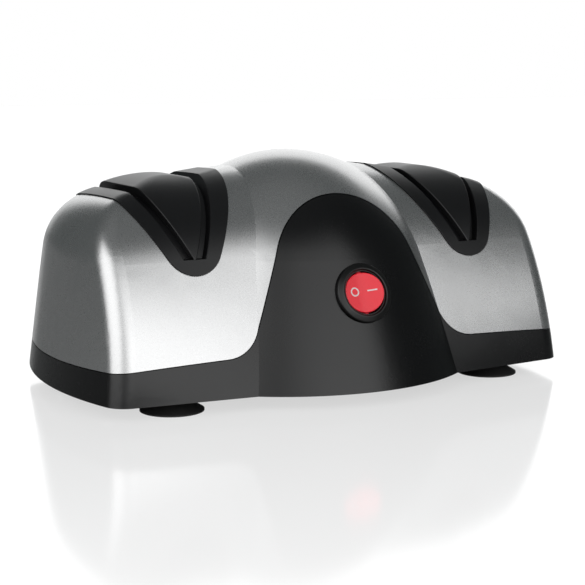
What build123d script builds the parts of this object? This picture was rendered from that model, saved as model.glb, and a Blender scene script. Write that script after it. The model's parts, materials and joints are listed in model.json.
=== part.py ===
from build123d import *
import os
from math import cos, radians, sin, sqrt, tan

# Electric knife sharpener with two sharpening stations, each with two slots.
# Frame: X along the length, Y from the switch side (-Y) to the back, Z up,
# origin on the table under the middle of the footprint.  Millimetres.

os.makedirs("parts", exist_ok=True)

# ---------------------------------------------------------------- driving sizes
# long body: a loaf whose crest falls towards both ends
foot_height = 5.5           # underside of the housing above the table
crest_y = 11.5              # the crest and the dome stand a little behind the middle
crest_y_end = 10.5          # the crest runs a little forwards towards both ends
crest_mid = 88.2            # crest height run on to the middle of the body
crest_fall = 0.088          # fall of the crest for each millimetre of length
section_reach = 112.0       # where the outer cross-section is drawn
front_foot_mid, front_foot_end = -55.5, -45.4
front_knee_mid, front_knee_end = -34.6, -32.0
back_foot_mid, back_foot_end = 60.8, 55.5
back_knee_mid, back_knee_end = 51.0, 47.5
knee_height = 54.8          # the flanks turn into the rounded top here
half_length = 105.6
end_radius = 148.7          # the ends are bowed in plan
end_lean = 7.5
shoulder_radius = 27.0
shoulder_slope = 9.0
corner_radius = 9.0
below = 15.0                # how far the forms run on below the housing

# dome between the two stations
dome_height = 91.5
dome_radius = 64.0          # spherical cap
dome_knee = 23.5            # lean of the wall where the cap ends
dome_foot = 77.0            # plan radius at the underside, towards the front
dome_back = 54.0            # reach of the dome behind its own axis

# walls and the parting line between the silver shell and the black housing
wall = 2.4
lip_clearance = 0.12
lip = 1.1
lip_height = 2.5
parting_gap = 0.35
rim_mid = 14.6              # height of the black rim in the middle and at the ends
rim_end = 11.9
rim_reach = 104.0
rim_fall = 0.02             # the rim gets lower towards the back
arch_radius = 31.0          # top of the black front panel
arch_centre = 45.9
arch_lean = 22.0
arch_foot_radius = 15.0
arch_depth = 12.0           # the panel belongs to the front wall only, in front of this Y
reach = 120.0               # beyond the housing on every side

# bottom plate
plate_thickness = 2.8
plate_clearance = 0.3
ledge_width = 3.0
ledge_thickness = 2.0
vent_width, vent_length, vent_pitch, vent_count = 3.0, 16.0, 6.0, 5
vent_rows = (-34.0, 11.5)

# sharpening stations
station_x = 61.0
saddle_radius = 12.0        # round bottom of the V-shaped opening
saddle_centre = 61.3
saddle_lean = 28.5
slot_lean = 24.8
slot_width = 3.4
slot_bottom = 55.1
slot_spread = 2.4           # middle of a slot from the middle of the station, at its bottom
slot_edge = 0.35            # rounding of the slots' and the wedge's edges
saddle_proud = 0.5
saddle_clearance = 0.15
flange_width = 3.5
flange_thickness = 1.8
wedge_crest = 83.7
wedge_proud = 0.7
wedge_crown = 38.0          # radius of the wedge's top, seen from the front
wedge_crown_shift = 4.0     # the crown stands nearer to the dome
wedge_shoulder = 12.0       # rounding between the wedge's top and its front and back
wedge_wall = 4.0
core_half_floor = 0.5       # the hollow of the wedge starts this wide, each side of the middle
core_neck_half = 1.4        # its neck down to the wheel's room
core_neck_overlap = 3.0

# grinding wheels
axis_z = 35.0
shaft_radius = 3.0
shaft_half = 72.0
shaft_chamfer = 0.5
fit = 0.03                  # radial clearance of turned fits
seat_gap = 0.02             # radial clearance of parts pressed or glued together
wheel_radius = 24.0
wheel_thickness = 5.0
wheel_bore = 6.0
wheel_chamfer = 1.2
wheel_room = 1.7
window_radius = 25.5
hub_flange_radius = 9.5
hub_flange = 3.5
hub_shortfall = 0.2
washer_radius = 8.5
washer_thickness = 1.6
nut_flats = 8.0
nut_height = 4.0

# motor
can_radius = 20.0
can_wall = 1.6
can_left, can_right = -33.0, 30.0
bell_thickness = 4.5
boss_radius = 7.5
boss_length = 4.0
bush_radius = 5.0
magnet_thickness = 3.4
magnet_arc = 128.0
magnet_length = 38.0
core_radius = 14.2
core_length = 32.0
core_centre = -6.0
core_slots = 12
core_slot_width = 2.4
core_slot_depth = 5.5
winding_reach = 5.0
winding_radius = 13.2
winding_width = 2.0
winding_play = 0.2
winding_round = 1.0
commutator_start = 15.4
commutator_length = 9.0
commutator_radius = 6.0
commutator_bars = 12
commutator_groove = 0.5
brush_x = 20.0
brush_section = 5.0
brush_length = 7.0
brush_gap = 0.1
brush_bedding = 0.25        # depth of the curved seat on the commutator
brush_play = 0.05
holder_wall = 1.0
holder_play = 0.5
spring_radius = 1.9
spring_wire = 0.25
spring_turns = 6
isolator_width = 6.0
isolator_thickness = 2.0
strap_thickness = 1.5
cradle_x = 22.0
cradle_width = 8.0
cradle_reach = 30.0

# switch
switch_height = 40.8
seat_depth = 1.0
seat_clearance = 0.25
bezel_radius = 11.5
bezel_thickness = 2.0
bezel_edge = 0.8
body_radius = 9.9
body_depth = 16.0
switch_fit = 0.2
clip_width, clip_depth, clip_reach = 4.0, 3.5, 0.9
rocker_radius = 7.75
rocker_clearance = 0.6
rocker_tilt = 10.0
rocker_skirt = 3.0
rocker_valley = 16.0        # soft turn in the middle of the rocker's face
rocker_edge = 0.4
pivot_depth = 1.5
pivot_radius = 1.2
pivot_reach = 9.2
pivot_clearance = 0.06
cavity_depth = 9.0
spade_width, spade_thickness, spade_length = 4.8, 0.8, 8.0
spade_spread = 4.0

# circuit board
board_length, board_width, board_thickness = 33.0, 18.0, 1.6
board_y = 44.0
standoff_height, standoff_radius = 4.0, 3.0
standoff_spread = 13.0
rectifier_length, rectifier_width, rectifier_height = 5.0, 12.0, 9.0
capacitor_radius, capacitor_height, capacitor_round = 4.0, 12.0, 0.6
component_spread = 5.0
lead_pitch, lead_radius, lead_end = 5.0, 0.4, 1.0

# feet, screws, posts and cord inlet
foot_x, foot_front, foot_back = 71.2, -34.0, 38.0
cup_radius = 12.0
cup_top_radius = 7.0
cup_height = 3.5
cup_wall = 1.6
cup_rim = 1.2
cup_edge = 0.6
foot_neck = 5.0
foot_stem = 3.5
foot_head = 5.0
foot_head_height = 2.0
foot_head_taper = 1.0
stem_clearance = 0.1
screw_radius = 1.6
screw_play = 0.05
screw_head_radius = 3.0
screw_head_height = 2.2
screw_recess = 1.2
screw_grip = 14.0
screw_end_room = 2.0
board_screw_room = 1.0
post_radius = 4.2
post_rib = 2.0
rib_start = 24.0
end_posts = (91.5, -22.0, 26.0)
dome_posts = (33.0, 45.0)
gland_x = 62.0
gland_height = 10.4
gland_bore = 2.75
gland_neck = 3.7
gland_flange = 4.4
gland_flange_thickness = 1.8
gland_inner_flange = 4.8
gland_room = 0.5

plate_top = foot_height + plate_thickness
lower_wall = wall + lip_clearance + lip


# ---------------------------------------------------------------- body forms
def between(middle, end, share):
    return middle + (end - middle) * share


def side_face(x, inset, crest_height=None):
    """Cross-section of the long body at x: crest, knees and leaning flanks."""
    share = x / section_reach
    crest = (between(crest_y, crest_y_end, share), crest_height or crest_mid - crest_fall * x)
    front_knee = (between(front_knee_mid, front_knee_end, share), knee_height)
    front_foot = (between(front_foot_mid, front_foot_end, share), foot_height)
    back_knee = (between(back_knee_mid, back_knee_end, share), knee_height)
    back_foot = (between(back_foot_mid, back_foot_end, share), foot_height)
    with BuildSketch(Plane.YZ.offset(x)) as section:
        with BuildLine():
            front_top = TangentArc(crest, front_knee, tangent=(-1, 0))
            front = TangentArc(front_knee, front_foot, tangent=front_top % 1)
            front_end = PolarLine(front_foot, below, direction=front % 1)
            back_top = TangentArc(crest, back_knee, tangent=(1, 0))
            back = TangentArc(back_knee, back_foot, tangent=back_top % 1)
            back_end = PolarLine(back_foot, below, direction=back % 1)
            Line(front_end @ 1, back_end @ 1)
        make_face()
        if inset:
            offset(amount=-inset, kind=Kind.INTERSECTION)
    return section.sketch.face()


def end_form(inset):
    """Bowed, leaning end wall and its round shoulder, turned about a far axis."""
    lean, slope = radians(end_lean), radians(shoulder_slope)
    radius = shoulder_radius - inset
    centre_z = knee_height - shoulder_radius * sin(lean)
    centre_x = half_length - (centre_z - foot_height) * tan(lean) - shoulder_radius / cos(lean)
    axis_x = half_length - end_radius
    wall_top = (centre_x + radius * cos(lean), centre_z + radius * sin(lean))
    roof_start = (centre_x + radius * sin(slope), centre_z + radius * cos(slope))
    wall_foot = (wall_top[0] + (wall_top[1] + below) * tan(lean), -below)
    roof_end = (axis_x, roof_start[1] + (roof_start[0] - axis_x) * tan(slope))
    with BuildPart() as end:
        with BuildSketch(Plane.XZ):
            with BuildLine():
                Line((axis_x, -below), wall_foot)
                Line(wall_foot, wall_top)
                TangentArc(wall_top, roof_start, tangent=(-sin(lean), cos(lean)))
                Line(roof_start, roof_end)
                Line(roof_end, (axis_x, -below))
            make_face()
        revolve(axis=Axis((axis_x, 0, 0), (0, 0, 1)))
    return end.part


def long_form(inset=0.0):
    """The long body with its rounded corners; inset moves every wall inwards."""
    right_end = end_form(inset)
    left_end = mirror(right_end, about=Plane.YZ)
    with BuildPart() as form:
        loft([side_face(0, inset), side_face(section_reach, inset)], ruled=True)
        mirror(about=Plane.YZ)
        add(right_end, mode=Mode.INTERSECT)
        add(left_end, mode=Mode.INTERSECT)
        corners = form.edges().filter_by(
            lambda e: e.geom_type != GeomType.CIRCLE and abs(e.center().X) > station_x
        )
        fillet(corners, radius=corner_radius - inset)
    return form.part


def dome_form(inset=0.0):
    """The dome: turned in front of its axis, drawn in behind it."""
    lean = radians(dome_knee)
    radius = dome_radius - inset
    centre_z = dome_height - dome_radius
    knee = (radius * cos(lean), centre_z + radius * sin(lean))
    foot = (dome_foot - inset, foot_height)
    with BuildSketch(Plane.XZ) as profile:
        with BuildLine():
            TangentArc((0, centre_z + radius), knee, tangent=(1, 0))
            flank = TangentArc(knee, foot, tangent=(sin(lean), -cos(lean)))
            skirt = PolarLine(foot, below, direction=flank % 1)
            Line(skirt @ 1, (0, (skirt @ 1).Y))
            Line((0, (skirt @ 1).Y), (0, centre_z + radius))
        make_face()
    with BuildPart() as front:
        add(profile.sketch)
        revolve(axis=Axis.Z, revolution_arc=-180)
    with BuildPart() as back:
        add(profile.sketch)
        revolve(axis=Axis.Z, revolution_arc=180)
        scale(by=(1, (dome_back - inset) / (dome_foot - inset), 1))
    with BuildPart() as form:
        add(front.part)
        add(back.part)
    return form.part.moved(Location((0, crest_y, 0)))


def body_form(inset=0.0):
    long_body = long_form(inset)
    dome = dome_form(inset)
    with BuildPart() as form:
        add(long_body)
        add(dome)
    return form.part


def keep(part, name):
    part.label = name
    export_step(part, f"parts/{name}.step")


def rim_line():
    """Upper edge of the rim, seen from the front: lower towards the ends."""
    return ThreePointArc(
        (-rim_reach, foot_height + rim_end),
        (0, foot_height + rim_mid),
        (rim_reach, foot_height + rim_end),
    )


def rim_zone(grow=0.0):
    """Space of the black housing: the rim all round and the arched front panel."""
    lean = radians(arch_lean)
    shoulder_x = arch_radius * cos(lean)
    shoulder_z = arch_centre + arch_radius * sin(lean)
    panel_foot_x = shoulder_x + (shoulder_z - foot_height) * tan(lean)
    lift = rim_fall * (reach + front_foot_mid)
    start = Plane((0, -reach, lift), x_dir=(1, 0, 0), z_dir=(0, -1, 0))
    fall = (0, 1, -rim_fall)
    with BuildSketch(start) as rim:
        with BuildLine():
            top = rim_line()
            Polyline(top @ 1, (reach, (top @ 1).Y), (reach, -reach), (-reach, -reach),
                     (-reach, (top @ 0).Y), top @ 0)
        make_face()
        offset(amount=grow, kind=Kind.INTERSECTION)
    with BuildSketch(start) as panel:
        with BuildLine():
            crown = ThreePointArc(
                (-shoulder_x, shoulder_z), (0, arch_centre + arch_radius), (shoulder_x, shoulder_z)
            )
            Polyline(crown @ 1, (panel_foot_x, foot_height), (-panel_foot_x, foot_height), crown @ 0)
        make_face()
        with BuildLine():
            top = rim_line()
            Polyline(top @ 1, (rim_reach, 0), (-rim_reach, 0), top @ 0)
        make_face()
        inner_corners = panel.vertices().filter_by(
            lambda v: foot_height + rim_end < v.Y < foot_height + rim_mid and abs(v.X) < panel_foot_x
        )
        fillet(inner_corners, radius=arch_foot_radius)
        offset(amount=grow, kind=Kind.INTERSECTION)
    slant = sqrt(1 + rim_fall ** 2)
    with BuildPart() as zone:
        add(rim.sketch)
        extrude(amount=2 * reach * slant, dir=fall)
    with BuildPart() as front:
        add(panel.sketch)
        extrude(amount=(reach - arch_depth) * slant, dir=fall)
    with BuildPart() as whole:
        add(zone.part)
        add(front.part)
    return whole.part


def station_v(side, radius):
    """V-shaped room through the body along Y, with a round bottom of the given radius."""
    lean = radians(saddle_lean)
    middle = side * station_x
    turn_x = radius * cos(lean)
    turn_z = saddle_centre - radius * sin(lean)
    edge_x = turn_x + (reach - turn_z) * tan(lean)
    with BuildPart() as room:
        with BuildSketch(Plane.XZ):
            with BuildLine():
                bottom = ThreePointArc(
                    (middle - turn_x, turn_z), (middle, saddle_centre - radius), (middle + turn_x, turn_z)
                )
                Polyline(bottom @ 1, (middle + edge_x, reach), (middle - edge_x, reach), bottom @ 0)
            make_face()
        extrude(amount=reach, both=True)
    return room.part


def slot_room(side, half_floor, floor_z, roof=None):
    """Room between two planes that lean apart; with a roof radius it ends in a crown."""
    lean = radians(slot_lean)
    middle = side * station_x
    edge_x = half_floor + (reach - floor_z) * tan(lean)
    with BuildPart() as room:
        with BuildSketch(Plane.XZ):
            with BuildLine():
                Polyline(
                    (middle - half_floor, floor_z), (middle + half_floor, floor_z),
                    (middle + edge_x, reach), (middle - edge_x, reach), close=True,
                )
            make_face()
            if roof:
                with Locations((middle - side * wedge_crown_shift, wedge_crest - wedge_crown)):
                    Circle(roof, mode=Mode.INTERSECT)
        extrude(amount=reach, both=True)
    return room.part


def wedge_side(inset):
    """Side view of the wedge between the slots, drawn out along X."""
    face = side_face(station_x, inset, wedge_crest)
    with BuildPart() as block:
        extrude(face, amount=2 * reach, both=True)
    return block.part


def slot_rims(part, side, half_floor):
    """Edges of one solid along the sides of the slots, apart from those on their floor."""
    def on_rim(edge):
        return (edge @ 0.5).Z > slot_bottom + slot_edge and all(
            abs(abs(point.X - side * station_x) - half_floor
                - (point.Z - slot_bottom) * tan(radians(slot_lean))) < seat_gap
            for point in (edge @ 0, edge @ 0.5, edge @ 1)
        )
    return part.edges().filter_by(on_rim)


# ---------------------------------------------------------------- shared solids
outer = body_form()
shell_inner = body_form(wall)
rib_limit = body_form(wall / 2)
lip_outer = body_form(wall + lip_clearance)
housing_inner = body_form(lower_wall)
plate_edge = body_form(lower_wall + plate_clearance)
ledge_inner = body_form(lower_wall + ledge_width)
saddle_outer = long_form(-saddle_proud)
flange_outer = long_form(wall + saddle_clearance)
flange_inner = long_form(wall + saddle_clearance + flange_thickness)
rim = rim_zone()
rim_gap = rim_zone(parting_gap)
rim_lip = rim_zone(lip_height)

axle = Axis((0, crest_y, axis_z), (1, 0, 0))
axle_plane = Plane((0, crest_y, axis_z), x_dir=(1, 0, 0), z_dir=(0, -1, 0))
ends = ((-1, "left"), (1, "right"))
post_spots = [(side * end_posts[0], y) for side in (-1, 1) for y in end_posts[1:]]
post_spots += [(side * dome_posts[0], dome_posts[1]) for side in (-1, 1)]
foot_spots = {
    "front_left": (-foot_x, foot_front),
    "front_right": (foot_x, foot_front),
    "rear_left": (-foot_x, foot_back),
    "rear_right": (foot_x, foot_back),
}


def ring(start, end, outer_radius, inner_radius):
    """Turned ring on the motor's axis, from x = start to x = end."""
    with BuildPart() as turned:
        with BuildSketch(Plane.YZ.offset(start)):
            with Locations((crest_y, axis_z)):
                Circle(outer_radius)
                Circle(inner_radius, mode=Mode.SUBTRACT)
        extrude(amount=end - start)
    return turned.part


# ---------------------------------------------------------------- upper shell
# The silver casing: the long body and the dome in one piece, open below, with the
# V-shaped openings of the two stations and the screw posts that hang from its roof.
station_cuts = [station_v(side, saddle_radius) for side, _ in ends]

with BuildPart() as posts:
    with BuildSketch(Plane.XY.offset(plate_top)):
        with Locations(post_spots):
            Circle(post_radius)
    extrude(amount=reach)
    with BuildSketch(Plane.XY.offset(rib_start)):
        for side in (-1, 1):
            for y in end_posts[1:]:
                with Locations((side * (end_posts[0] + reach / 2), y)):
                    Rectangle(reach, post_rib)
            with Locations((side * dome_posts[0], dome_posts[1] + reach / 2)):
                Rectangle(post_rib, reach)
    extrude(amount=reach)
    add(rib_limit, mode=Mode.INTERSECT)

with BuildPart() as upper_shell:
    add(outer)
    add(shell_inner, mode=Mode.SUBTRACT)
    add(rim_gap, mode=Mode.SUBTRACT)
    add(posts.part)
    add(station_cuts, mode=Mode.SUBTRACT)
    with BuildSketch(Plane.XY.offset(plate_top)):
        with Locations(post_spots):
            Circle(screw_radius + screw_play)
    extrude(amount=screw_grip, mode=Mode.SUBTRACT)
keep(upper_shell.part, "upper_shell")

# ---------------------------------------------------------------- switch plane
flank_start = (dome_radius * cos(radians(dome_knee)),
               dome_height - dome_radius + dome_radius * sin(radians(dome_knee)))
run_x, run_z = dome_foot - flank_start[0], foot_height - flank_start[1]
flank_radius = -(run_x ** 2 + run_z ** 2) / 2 / (
    run_x * cos(radians(dome_knee)) + run_z * sin(radians(dome_knee)))
flank_centre = (flank_start[0] - flank_radius * cos(radians(dome_knee)),
                flank_start[1] - flank_radius * sin(radians(dome_knee)))
switch_lean = (switch_height - flank_centre[1]) / flank_radius
switch_reach = flank_centre[0] + flank_radius * sqrt(1 - switch_lean ** 2)
panel = Plane(
    (0, crest_y - switch_reach, switch_height),
    x_dir=(1, 0, 0),
    z_dir=(0, -sqrt(1 - switch_lean ** 2), switch_lean),
)

# ---------------------------------------------------------------- lower housing
# The black lower casing: rim, arched front panel with the switch seat, a lip inside
# the upper shell and a ledge on which the bottom plate bears.
gland_axis = Axis((gland_x, 0, gland_height), (0, 1, 0))
gland_y = max(point.Y for point, _ in outer.find_intersection_points(gland_axis))
gland_plane = Plane((gland_x, gland_y, gland_height), x_dir=(-1, 0, 0), z_dir=(0, 1, 0))

with BuildPart() as lip_ring:
    add(lip_outer)
    add(rim_lip, mode=Mode.INTERSECT)

with BuildPart() as ledge:
    with BuildSketch(Plane.XY.offset(plate_top)):
        Rectangle(2 * reach, 2 * reach)
        with Locations((gland_x, gland_y)):
            Rectangle(2 * (gland_inner_flange + gland_room), 4 * ledge_width + 2 * lower_wall,
                      mode=Mode.SUBTRACT)
    extrude(amount=ledge_thickness)
    add(rib_limit, mode=Mode.INTERSECT)
    add(ledge_inner, mode=Mode.SUBTRACT)

with BuildPart() as lower_housing:
    add(outer)
    add(rim, mode=Mode.INTERSECT)
    add(lip_ring.part)
    add(housing_inner, mode=Mode.SUBTRACT)
    split(bisect_by=Plane.XY.offset(foot_height), keep=Keep.TOP)
    add(ledge.part)
    with BuildSketch(panel.offset(-seat_depth)):
        Circle(bezel_radius + seat_clearance)
    extrude(amount=reach, mode=Mode.SUBTRACT)
    with BuildSketch(panel):
        Circle(body_radius + switch_fit)
    extrude(amount=-body_depth, mode=Mode.SUBTRACT)
    with BuildSketch(gland_plane):
        Circle(gland_neck + switch_fit)
    extrude(amount=2 * lower_wall, both=True, mode=Mode.SUBTRACT)
keep(lower_housing.part, "lower_housing")

can_middle = (can_left + can_right) / 2
cradle_spots = [can_middle + side * cradle_x for side in (-1, 1)]
isolator_radius = can_radius + seat_gap + isolator_thickness
strap_hole_y = (isolator_radius + strap_thickness + cradle_reach) / 2
strap_screws = [(x, crest_y + side * strap_hole_y) for x in cradle_spots for side in (-1, 1)]
standoffs = [(can_middle + side * standoff_spread, board_y) for side in (-1, 1)]
rectifier_x = can_middle - component_spread
capacitor_x = can_middle + component_spread
board_bottom = plate_top + standoff_height

# ---------------------------------------------------------------- bottom plate
# Flat plate with the two motor cradles, the circuit board's standoffs, vents, and
# holes for the case screws and the stems of the feet.
with BuildPart() as plate_blank:
    with BuildSketch(Plane.XY.offset(foot_height)):
        Rectangle(2 * reach, 2 * reach)
    extrude(amount=plate_thickness)
    add(plate_edge, mode=Mode.INTERSECT)

with BuildPart() as bottom_plate:
    add(plate_blank.part)
    with BuildSketch(Plane.XY.offset(plate_top)):
        with Locations([(x, crest_y) for x in cradle_spots]):
            Rectangle(cradle_width, 2 * cradle_reach)
    extrude(amount=axis_z - plate_top)
    with BuildSketch(Plane.YZ):
        with Locations((crest_y, axis_z)):
            Circle(isolator_radius + seat_gap)
    extrude(amount=reach, both=True, mode=Mode.SUBTRACT)
    with BuildSketch(Plane.XY.offset(plate_top)):
        with Locations(standoffs):
            Circle(standoff_radius)
    extrude(amount=standoff_height)
    with BuildSketch(Plane.XY.offset(board_bottom)):
        with Locations(standoffs):
            Circle(screw_radius + screw_play)
    extrude(amount=-standoff_height, mode=Mode.SUBTRACT)
    with BuildSketch(Plane.XY.offset(axis_z)):
        with Locations(strap_screws):
            Circle(screw_radius + screw_play)
    extrude(amount=-screw_grip, mode=Mode.SUBTRACT)
    with BuildSketch(Plane.XY.offset(foot_height)):
        with Locations(post_spots):
            Circle(screw_radius + 2 * screw_play)
        with Locations(list(foot_spots.values())):
            Circle(foot_stem + stem_clearance)
        for row in vent_rows:
            with Locations([(vent_pitch * (i - (vent_count - 1) / 2), row) for i in range(vent_count)]):
                SlotOverall(vent_length, vent_width, rotation=90)
    extrude(amount=plate_thickness, mode=Mode.SUBTRACT)
    with BuildSketch(Plane.XY.offset(foot_height)):
        with Locations(post_spots):
            Circle(screw_head_radius + stem_clearance)
    extrude(amount=screw_recess, mode=Mode.SUBTRACT)
keep(bottom_plate.part, "bottom_plate")


# ---------------------------------------------------------------- guide inserts
# One black moulding for each station: a V-shaped saddle with a round bottom, two
# slots that lean apart, the wedge between them, and a flange inside the shell.
slot_half = slot_width / 2 / cos(radians(slot_lean))
for side, name in ends:
    saddle_v = station_v(side, saddle_radius - saddle_clearance)
    flange_v = station_v(side, saddle_radius + flange_width)
    slots_room = slot_room(side, slot_spread + slot_half, slot_bottom)
    wedge_room = slot_room(side, slot_spread - slot_half, slot_bottom, wedge_crown)
    wedge_block = wedge_side(-wedge_proud)
    core_half = slot_spread - slot_half - wedge_wall / cos(radians(slot_lean))
    core_floor = slot_bottom + (core_half_floor - core_half) / tan(radians(slot_lean))
    core_room = slot_room(side, core_half_floor, core_floor, wedge_crown - wedge_wall)
    neck_top = core_floor + core_neck_overlap
    core_block = wedge_side(wedge_wall - wedge_proud)
    with BuildPart() as flange:
        add(flange_v)
        add(flange_outer, mode=Mode.INTERSECT)
        add(flange_inner, mode=Mode.SUBTRACT)
    with BuildPart() as wedge:
        add(wedge_room)
        add(wedge_block, mode=Mode.INTERSECT)
        fillet(wedge.edges().filter_by(GeomType.BSPLINE), radius=wedge_shoulder)
        fillet(slot_rims(wedge, side, slot_spread - slot_half), radius=slot_edge)
    with BuildPart() as core:
        add(core_room)
        add(core_block, mode=Mode.INTERSECT)
    with BuildPart() as guide_insert:
        add(saddle_v)
        add(saddle_outer, mode=Mode.INTERSECT)
        add(slots_room, mode=Mode.SUBTRACT)
        fillet(slot_rims(guide_insert, side, slot_spread + slot_half), radius=slot_edge)
        add(flange.part)
        add(wedge.part)
        add(core.part, mode=Mode.SUBTRACT)
        with BuildSketch(Plane.YZ.offset(side * station_x)):
            with Locations((crest_y, axis_z)):
                Circle(window_radius)
        extrude(amount=wheel_thickness / 2 + wheel_room, both=True, mode=Mode.SUBTRACT)
        with BuildSketch(Plane.XY.offset(axis_z)):
            with Locations((side * station_x, crest_y)):
                Rectangle(2 * core_neck_half, window_radius)
        extrude(amount=neck_top - axis_z, mode=Mode.SUBTRACT)
    keep(guide_insert.part, f"{name}_guide_insert")


# ---------------------------------------------------------------- motor
# Permanent-magnet motor with its axis along X: steel can, end bell with brushes.
with BuildPart() as motor_can:
    with BuildSketch(axle_plane):
        with BuildLine():
            Polyline(
                (can_left - boss_length, bush_radius + seat_gap),
                (can_left - boss_length, boss_radius),
                (can_left, boss_radius),
                (can_left, can_radius),
                (can_right, can_radius),
                (can_right, can_radius - can_wall),
                (can_left + can_wall, can_radius - can_wall),
                (can_left + can_wall, bush_radius + seat_gap),
                close=True,
            )
        make_face()
    revolve(axis=axle)
keep(motor_can.part, "motor_can")

bell_start = can_right - bell_thickness
with BuildPart() as motor_end_bell:
    with BuildSketch(axle_plane):
        with BuildLine():
            Polyline(
                (bell_start, bush_radius + seat_gap),
                (bell_start, can_radius - can_wall - seat_gap),
                (can_right, can_radius - can_wall - seat_gap),
                (can_right, boss_radius),
                (can_right + boss_length, boss_radius),
                (can_right + boss_length, bush_radius + seat_gap),
                close=True,
            )
        make_face()
    revolve(axis=axle)
    holder_side = brush_section + 2 * (brush_play + holder_wall)
    holder_start = brush_x - holder_side / 2
    holder_inner = commutator_radius + holder_wall + seat_gap
    holder_outer = sqrt((can_radius - can_wall) ** 2 - (holder_side / 2) ** 2) - holder_play
    with BuildSketch(Plane.YZ.offset(holder_start)):
        for way in (-1, 1):
            with Locations((crest_y + way * (holder_inner + holder_outer) / 2, axis_z)):
                Rectangle(holder_outer - holder_inner, holder_side)
    extrude(amount=bell_start - holder_start)
    with BuildSketch(Plane.YZ.offset(brush_x - brush_section / 2 - brush_play)):
        with Locations((crest_y, axis_z)):
            Rectangle(2 * can_radius, brush_section + 2 * brush_play)
            Rectangle(2 * holder_inner, 2 * can_radius, mode=Mode.SUBTRACT)
    extrude(amount=brush_section + 2 * brush_play, mode=Mode.SUBTRACT)
keep(motor_end_bell.part, "motor_end_bell")

for start, end, name in (
    (can_left - boss_length, can_left + can_wall, "left_bearing"),
    (bell_start, can_right + boss_length, "right_bearing"),
):
    keep(ring(start, end, bush_radius, shaft_radius + fit), name)

gap_half = radians((180 - magnet_arc) / 2)
magnet_outer = can_radius - can_wall - seat_gap
with BuildPart() as motor_magnets:
    with BuildSketch(Plane.YZ.offset(core_centre - magnet_length / 2)):
        with Locations((crest_y, axis_z)):
            Circle(magnet_outer)
            Circle(magnet_outer - magnet_thickness, mode=Mode.SUBTRACT)
        for way in (-1, 1):
            with BuildLine():
                Polyline(
                    (crest_y, axis_z),
                    (crest_y - can_radius * tan(gap_half), axis_z + way * can_radius),
                    (crest_y + can_radius * tan(gap_half), axis_z + way * can_radius),
                    close=True,
                )
            make_face(mode=Mode.SUBTRACT)
    extrude(amount=magnet_length)
keep(motor_magnets.part, "motor_magnets")

core_start = core_centre - core_length / 2
with BuildPart() as armature_core:
    add(ring(core_start, core_start + core_length, core_radius, shaft_radius + seat_gap))
    with BuildSketch(Plane.YZ.offset(core_start)):
        with Locations((crest_y, axis_z)):
            with PolarLocations(core_radius - core_slot_depth / 2 + seat_gap, core_slots):
                Rectangle(core_slot_depth + 2 * seat_gap, core_slot_width)
    extrude(amount=core_length, mode=Mode.SUBTRACT)
keep(armature_core.part, "armature_core")

winding_floor = core_radius - core_slot_depth + seat_gap
coil_left = ring(core_start - winding_reach, core_start - seat_gap, winding_radius, winding_floor)
coil_right = ring(core_start + core_length + seat_gap, core_start + core_length + winding_reach,
                  winding_radius, winding_floor)
with BuildPart() as armature_windings:
    with BuildSketch(Plane.YZ.offset(core_start - winding_reach / 2)):
        with Locations((crest_y, axis_z)):
            with PolarLocations((winding_floor + winding_radius) / 2, core_slots):
                Rectangle(winding_radius - winding_floor - winding_play, winding_width)
    extrude(amount=core_length + winding_reach)
    add(coil_left)
    add(coil_right)
    for end in (0, -1):
        rims = armature_windings.edges().filter_by(GeomType.CIRCLE).group_by(Axis.X)[end]
        fillet(rims, radius=winding_round)
keep(armature_windings.part, "armature_windings")

commutator_ring = ring(commutator_start, commutator_start + commutator_length, commutator_radius,
                       shaft_radius + seat_gap)
with BuildPart() as commutator:
    add(commutator_ring)
    with BuildSketch(Plane.YZ.offset(commutator_start)):
        with Locations((crest_y, axis_z)):
            with PolarLocations(commutator_radius, commutator_bars):
                Rectangle(2 * commutator_groove, commutator_groove)
    extrude(amount=commutator_length, mode=Mode.SUBTRACT)
keep(commutator.part, "commutator")

with BuildPart() as motor_shaft:
    with BuildSketch(Plane.YZ.offset(-shaft_half)):
        with Locations((crest_y, axis_z)):
            Circle(shaft_radius)
    extrude(amount=2 * shaft_half)
    chamfer(motor_shaft.edges().filter_by(GeomType.CIRCLE), length=shaft_chamfer)
keep(motor_shaft.part, "motor_shaft")

brush_inner = commutator_radius + brush_gap
with BuildPart() as carbon_brushes:
    with BuildSketch(Plane.YZ.offset(brush_x - brush_section / 2)):
        for way in (-1, 1):
            with Locations((crest_y + way * (brush_inner + (brush_length - brush_bedding) / 2), axis_z)):
                Rectangle(brush_length + brush_bedding, brush_section)
        with Locations((crest_y, axis_z)):
            Circle(brush_inner, mode=Mode.SUBTRACT)
    extrude(amount=brush_section)
keep(carbon_brushes.part, "carbon_brushes")

spring_start = brush_inner + brush_length + spring_wire
spring_end = sqrt((can_radius - can_wall) ** 2 - (spring_radius + spring_wire) ** 2) - spring_wire
spring_room = spring_end - seat_gap - spring_start
coils = []
for way in (-1, 1):
    with BuildPart() as coil:
        with BuildLine() as path:
            Helix(
                pitch=spring_room / spring_turns, height=spring_room, radius=spring_radius,
                center=(brush_x, crest_y + way * spring_start, axis_z), direction=(0, way, 0),
            )
        with BuildSketch(Plane(path.line @ 0, z_dir=path.line % 0)):
            Circle(spring_wire)
        sweep()
    coils.append(coil.part)
with BuildPart() as brush_springs:
    add(coils)
keep(brush_springs.part, "brush_springs")

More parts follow.
